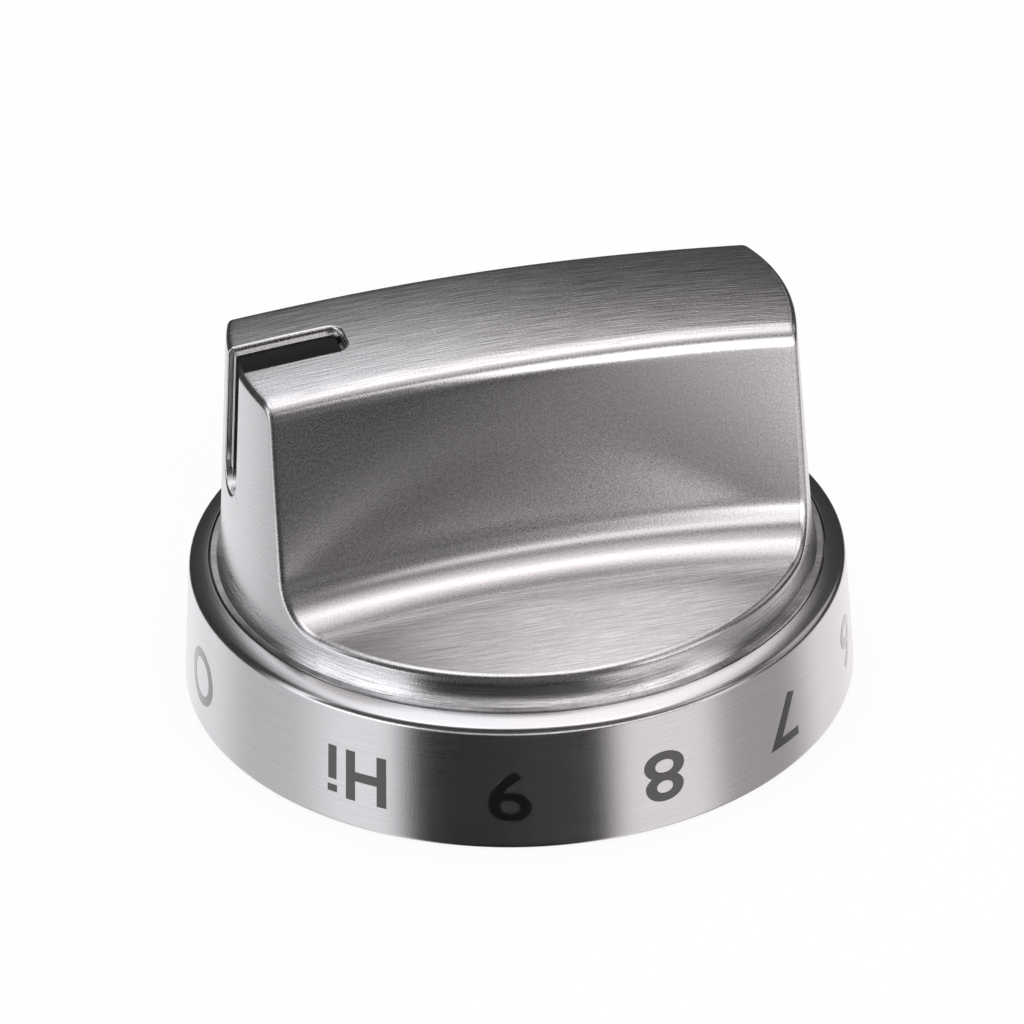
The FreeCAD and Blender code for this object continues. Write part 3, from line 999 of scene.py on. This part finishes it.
for side in (-1, 1):
    boss_x = side * screw_spacing / 2
    worked(grip, "UNION", [rod(boss_radius, boss_foot, boss_top, boss_x), boss_rib(side)])
    worked(grip, "DIFFERENCE", [rod(boss_hole_radius, web_z, web_z + boss_hole_depth, boss_x)])
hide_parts("grip")
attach(grip, "root")


# Pointer inlay
# A strip of black plastic bonded into the groove over the top and down the end, a little below its edge.
# Its face is as it left the mould, with a fine even texture.
def moulded_plastic(name, colour, roughness, texture_size, relief, gloss):
    """Moulded plastic with the fine spark-eroded texture of its tool."""
    material, tree, plastic = new_material(name)
    plastic.inputs["Specular IOR Level"].default_value = gloss
    texture = spots(tree, texture_size)
    raised(tree, plastic, texture, relief)
    rough = ramp(tree, texture, 0.3, 0.7, roughness - 0.06, roughness + 0.06)
    tree.links.new(rough, plastic.inputs["Roughness"])
    shades = mixed(tree, texture, shade(colour, 0.8), shade(colour, 1.2))
    tree.links.new(shades, plastic.inputs["Base Color"])
    return material


def dress(node, material):
    """Gives a CAD node that stays in view its own material."""
    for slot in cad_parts[node].material_slots:
        slot.material = material


dress("pointer_inlay", moulded_plastic(
    "inlay_black", (0.007, 0.0068, 0.0072), roughness=0.55, texture_size=0.12, relief=0.25, gloss=0.2))


# Hub carrier
# The black nylon moulding inside the knob: a plate that holds the skirt against the grip, ribs, and the hub
# with its D bore that goes on the shaft.
dress("hub_carrier", moulded_plastic(
    "carrier_nylon", (0.018, 0.018, 0.019), roughness=0.5, texture_size=0.25, relief=0.35, gloss=0.5))


# Shaft spring ring
# A split ring of spring steel round the slotted hub, which grips the shaft. Drawn wire, hardened grey.
def plated_steel(name, colour, roughness, cloud_size):
    """Bare or plated steel with soft clouds in its colour and gloss."""
    material, tree, metal = new_material(name)
    metal.inputs["Metallic"].default_value = 1.0
    clouds = spots(tree, cloud_size, detail=4.0)
    rough = ramp(tree, clouds, 0.3, 0.7, roughness - 0.08, roughness + 0.08)
    tree.links.new(rough, metal.inputs["Roughness"])
    shades = mixed(tree, clouds, shade(colour, 0.75), shade(colour, 1.2))
    tree.links.new(shades, metal.inputs["Base Color"])
    return material


dress("shaft_spring_ring", plated_steel("spring_wire", (0.42, 0.41, 0.40), roughness=0.32, cloud_size=0.8))


# Carrier screws
# Two self-tapping screws with cross-recessed pan heads, zinc plated, that pull the carrier and the skirt
# against the grip.
dress("carrier_screws", plated_steel("screw_zinc", (0.62, 0.63, 0.62), roughness=0.3, cloud_size=0.6))


# Floor and light
# A white table under a large soft box, with a strip light in front, white panels round it and dark gaps
# between them. Two cards close in front of the grip show only in the metal.
table_reach, table_z = 3.0, -0.0002
table_level, table_glow = 1.09, 0.8
warm_white, cool_white = (1, 0.965, 0.96), (0.975, 0.98, 1)
floor_mesh = bpy.data.meshes.new("floor")
floor_corners = [(x * table_reach, y * table_reach, table_z)
                 for x, y in ((-1, -1), (1, -1), (1, 1), (-1, 1))]
floor_mesh.from_pydata(floor_corners, [], [(0, 1, 2, 3)])
floor_piece = placed("floor", floor_mesh)
floor_piece.visible_glossy = False
table_white, tree, _ = new_material("table_white")
tree.nodes.clear()
add, link = tree.nodes.new, tree.links.new
lit = add("ShaderNodeBsdfDiffuse")
lit.inputs["Color"].default_value = (0.9, 0.9, 0.9, 1)
plain = add("ShaderNodeEmission")
plain.inputs["Strength"].default_value = table_level
seen = add("ShaderNodeLightPath")
paper = add("ShaderNodeMixShader")
surface = add("ShaderNodeOutputMaterial")
link(maths(tree, "MULTIPLY", seen.outputs["Is Camera Ray"], table_glow), paper.inputs[0])
link(lit.outputs[0], paper.inputs[1])
link(plain.outputs[0], paper.inputs[2])
link(paper.outputs[0], surface.inputs[0])
floor_piece.data.materials.append(table_white)

view_yaw = math.radians(13.75)
to_right = Vector((math.cos(view_yaw), -math.sin(view_yaw), 0))
to_front = Vector((-math.sin(view_yaw), -math.cos(view_yaw), 0))
card_z, card_near, card_far = 12, 29.3, 150
flag_front = 39


def card(name, near, far, dark_until, bright_from, dark, bright, fades=False):
    """Card in front of the knob between two rows of points, right, toward the camera and up in mm. Its level
    runs from dark on the left to bright on the right, or it fades away there."""
    count = len(near)
    mesh = bpy.data.meshes.new(name)
    mesh.from_pydata([(to_right * x + to_front * y + Vector((0, 0, z))) * MM for x, y, z in near + far], [],
                     [(i, i + 1, count + i + 1, count + i) for i in range(count - 1)])
    piece = placed(name, mesh)
    piece.visible_camera = piece.visible_diffuse = piece.visible_shadow = False
    material, tree, _ = new_material(name)
    tree.nodes.clear()
    add, link = tree.nodes.new, tree.links.new
    place = add("ShaderNodeTexCoord")
    aside = add("ShaderNodeVectorMath")
    aside.operation = "DOT_PRODUCT"
    aside.inputs[1].default_value = to_right
    link(place.outputs["Object"], aside.inputs[0])
    level = ramp(tree, aside.outputs["Value"], dark_until * MM, bright_from * MM, dark, bright, soft=True)
    paint = add("ShaderNodeEmission")
    paint.inputs["Color"].default_value = (*warm_white, 1)
    shown = add("ShaderNodeOutputMaterial")
    if fades:
        paint.inputs["Strength"].default_value = dark
        clear = add("ShaderNodeBsdfTransparent")
        faded = add("ShaderNodeMixShader")
        for socket, value in zip(faded.inputs, (level, paint.outputs[0], clear.outputs[0])):
            link(value, socket)
        link(faded.outputs[0], shown.inputs[0])
    else:
        link(level, paint.inputs["Strength"])
        link(paint.outputs[0], shown.inputs[0])
    piece.data.materials.append(material)


card_turns = [math.radians(a) for a in range(-24, 76, 4)]
card("grey_card", [(card_near * math.sin(a), card_near * math.cos(a), card_z) for a in card_turns],
     [(card_far * math.sin(a), card_far * math.cos(a), card_z) for a in card_turns],
     dark_until=4, bright_from=46, dark=0.065, bright=0.56)
flag_top = [(-70, 54), (8, 52), (13, 36.3), (40, 36)]
card("black_flag", [(x, flag_front, card_z) for x, z in flag_top], [(x, flag_front, z) for x, z in flag_top],
     dark_until=20, bright_from=30, dark=0.03, bright=1, fades=True)

scene = bpy.context.scene
studio = bpy.data.worlds.new("studio")
scene.world = studio
studio.use_nodes = True
sky_tree = studio.node_tree
sky_tree.nodes.clear()
add, link = sky_tree.nodes.new, sky_tree.links.new


def calc(operation, *values):
    return maths(sky_tree, operation, *values)


def soft_step(value, low, high):
    return ramp(sky_tree, value, low, high, soft=True)


def rest_of(value):
    return calc("SUBTRACT", 1, value)


direction = add("ShaderNodeTexCoord")
facing = add("ShaderNodeVectorRotate")
facing.rotation_type = "Z_AXIS"
facing.inputs["Angle"].default_value = view_yaw
link(direction.outputs["Generated"], facing.inputs["Vector"])
split = add("ShaderNodeSeparateXYZ")
link(facing.outputs[0], split.inputs[0])
aside = calc("DEGREES", calc("ARCTAN2", split.outputs[0], calc("MULTIPLY", split.outputs[1], -1)))
height = calc("DEGREES", calc("ARCSINE", split.outputs[2]))


def band(value, low, full, fall, end):
    """Rises to 1 between two values and falls back to 0 between two more."""
    return calc("MULTIPLY", soft_step(value, low, full), rest_of(soft_step(value, fall, end)))


# Soft box overhead, placed by its distance from straight above in heights of the box
box_level, room_level = 1.27, 0.045
overhead = calc("MAXIMUM", split.outputs[2], 0.02)
box_aside = calc("ABSOLUTE", calc("DIVIDE", split.outputs[0], overhead))
box_front = calc("MULTIPLY", calc("DIVIDE", split.outputs[1], overhead), -1)
soft_box = calc("MULTIPLY", band(box_front, -1.42, -0.82, 0.05, 0.4),
                rest_of(soft_step(box_aside, 0.32, 0.58)))
above = calc("ADD", calc("MULTIPLY", soft_box, box_level), room_level)

# Panels: level, then where each rises and falls in degrees to the right and in degrees up
panels = {
    "front strip": (2.05, (-4, 6, 38, 60), (-6, 0, 32, 44)),
    "left panel": (1.36, (-95, -72, -46, -28), (-30, -20, 28, 52)),
    "right panel": (0.92, (56, 63, 72, 84), (-30, -20, 35, 52)),
    "back panel": (0.3, (-181, -180.5, -172, -158), (22, 32, 44, 56)),
    "low glow": (1.5, (-75, -55, 55, 75), (-10, -4, 5, 11)),
    "side panel": (0.5, (92, 106, 130, 140), (12, 18, 36, 46)),
    "front fill": (0.68, (-125, -100, 100, 125), (46, 57, 78, 88)),
}
for panel_level, right, up in panels.values():
    panel = calc("MULTIPLY", band(aside, *right), band(height, *up))
    above = calc("ADD", above, calc("MULTIPLY", panel, panel_level))

# Glow of the table from below, lighter behind, with dark gaps in front and on both sides
glow_level, glow_behind = 0.92, 0.1
behind = soft_step(calc("ABSOLUTE", aside), 128, 158)
below = calc("ADD", calc("MULTIPLY", behind, glow_behind), glow_level)
front_gap = rest_of(soft_step(calc("ABSOLUTE", calc("ADD", aside, 5)), 29, 42))
left_gap = band(aside, -130, -102, -84, -62)
right_gap = band(aside, 60, 76, 98, 125)
for share, gap in ((0.99, front_gap), (0.33, left_gap), (0.56, right_gap)):
    below = calc("MULTIPLY", below, rest_of(calc("MULTIPLY", gap, share)))

horizon = soft_step(height, -19, -13)
level = calc("ADD", calc("MULTIPLY", above, horizon), calc("MULTIPLY", below, rest_of(horizon)))
to_camera = add("ShaderNodeLightPath").outputs["Is Camera Ray"]
tint = mixed(sky_tree, soft_step(aside, -70, 60), cool_white, warm_white)
sky = add("ShaderNodeBackground")
link(mixed(sky_tree, to_camera, tint, (1, 1, 1)), sky.inputs["Color"])
link(calc("ADD", calc("MULTIPLY", level, rest_of(to_camera)), to_camera), sky.inputs["Strength"])
out = add("ShaderNodeOutputWorld")
link(sky.outputs[0], out.inputs[0])


# Camera
# At the photograph's place: nearly thirty-two degrees above the table, off the bar's near side.
view_pitch = math.radians(31.822)
view_roll = math.radians(-1.49)
eye_place = (-95.27, -387.97, 262.4)
camera = bpy.data.cameras.new("camera")
camera.lens = 196.6
camera.sensor_width = 36.0
camera.clip_start = 0.01
camera.clip_end = 20.0
eye = placed("camera", camera)
level_up = Vector((0, 0, math.cos(view_pitch))) - math.sin(view_pitch) * to_front
eye_right = math.cos(view_roll) * to_right + math.sin(view_roll) * level_up
eye_up = math.cos(view_roll) * level_up - math.sin(view_roll) * to_right
eye_axes = Matrix((eye_right, eye_up, eye_right.cross(eye_up))).transposed().to_4x4()
eye.matrix_world = Matrix.Translation(Vector(eye_place) * MM) @ eye_axes
scene.camera = eye
scene.view_settings.view_transform = "Standard"
